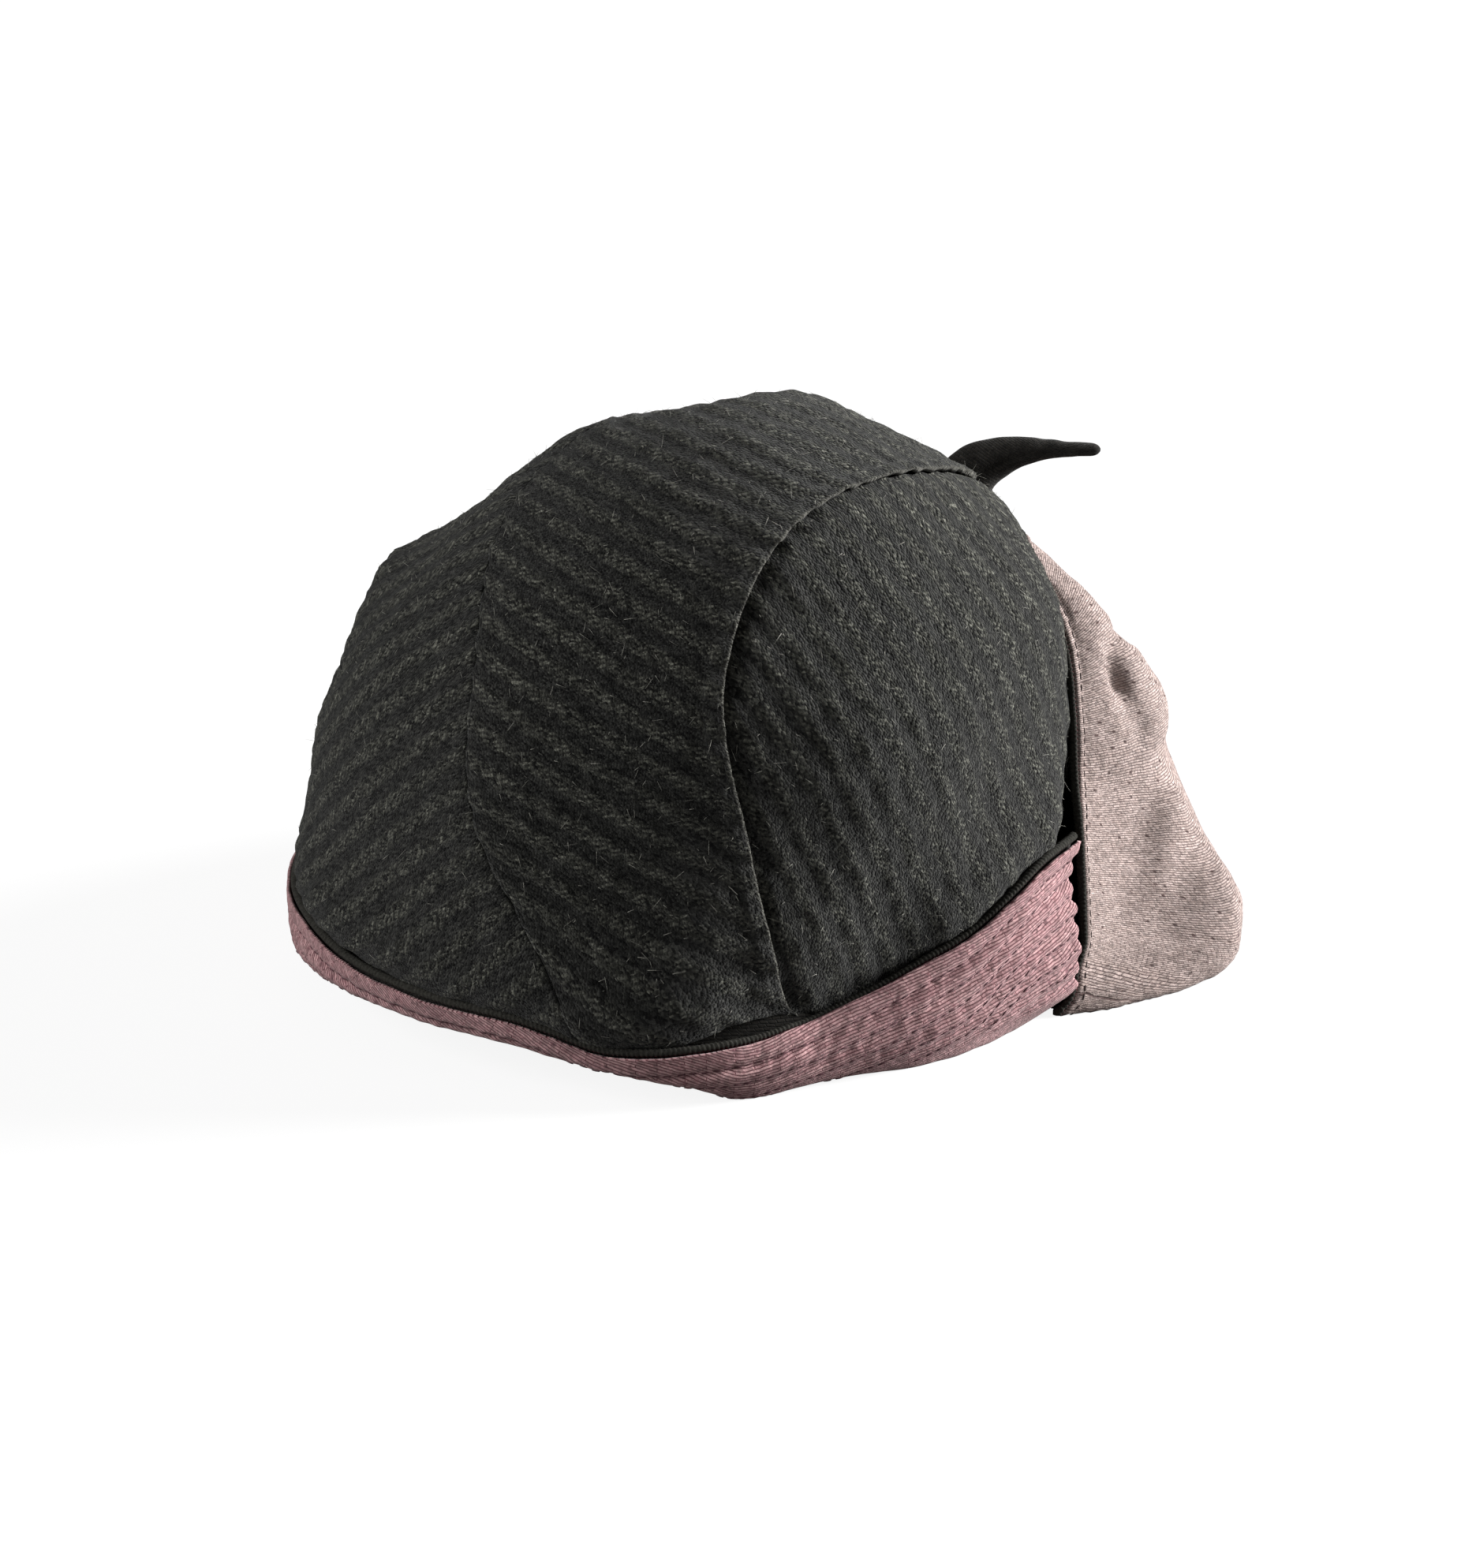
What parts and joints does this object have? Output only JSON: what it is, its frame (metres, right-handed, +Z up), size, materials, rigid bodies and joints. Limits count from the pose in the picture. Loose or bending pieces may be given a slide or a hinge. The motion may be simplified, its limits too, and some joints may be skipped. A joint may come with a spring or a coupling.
{
  "type": "soft peaked cap",
  "caption": "Soft gored cap of dark striped twill with a cloth stalk at the tip, a turned-up mauve back brim and a large turned-up taupe peak.",
  "frame": {"origin": "middle of the floor under the cap's bounding box", "axes": "+Z up, -Y the front of the cap where the peak is, -X the wearer's right"},
  "size_m": [0.2196, 0.25, 0.1593],
  "materials": {
    "striped_twill": "charcoal wool twill with tonal raised stripes, matt and slightly fuzzy",
    "dark_cloth": "plain charcoal cloth, matt",
    "mauve_cloth": "mauve melange cloth with rows of stitching, matt",
    "taupe_cloth": "taupe melange cloth, matt"
  },
  "bodies": {
    "root": {"crown_side_right": "striped_twill", "crown_back_right": "striped_twill", "crown_back_left": "striped_twill", "crown_side_left": "striped_twill", "crown_front": "striped_twill", "brim_facing": "mauve_cloth", "brim_shell": "dark_cloth", "brim_binding": "dark_cloth", "peak_facing": "taupe_cloth", "peak_shell": "dark_cloth", "peak_binding": "dark_cloth", "stalk": "dark_cloth"}
  },
  "joints": []
}
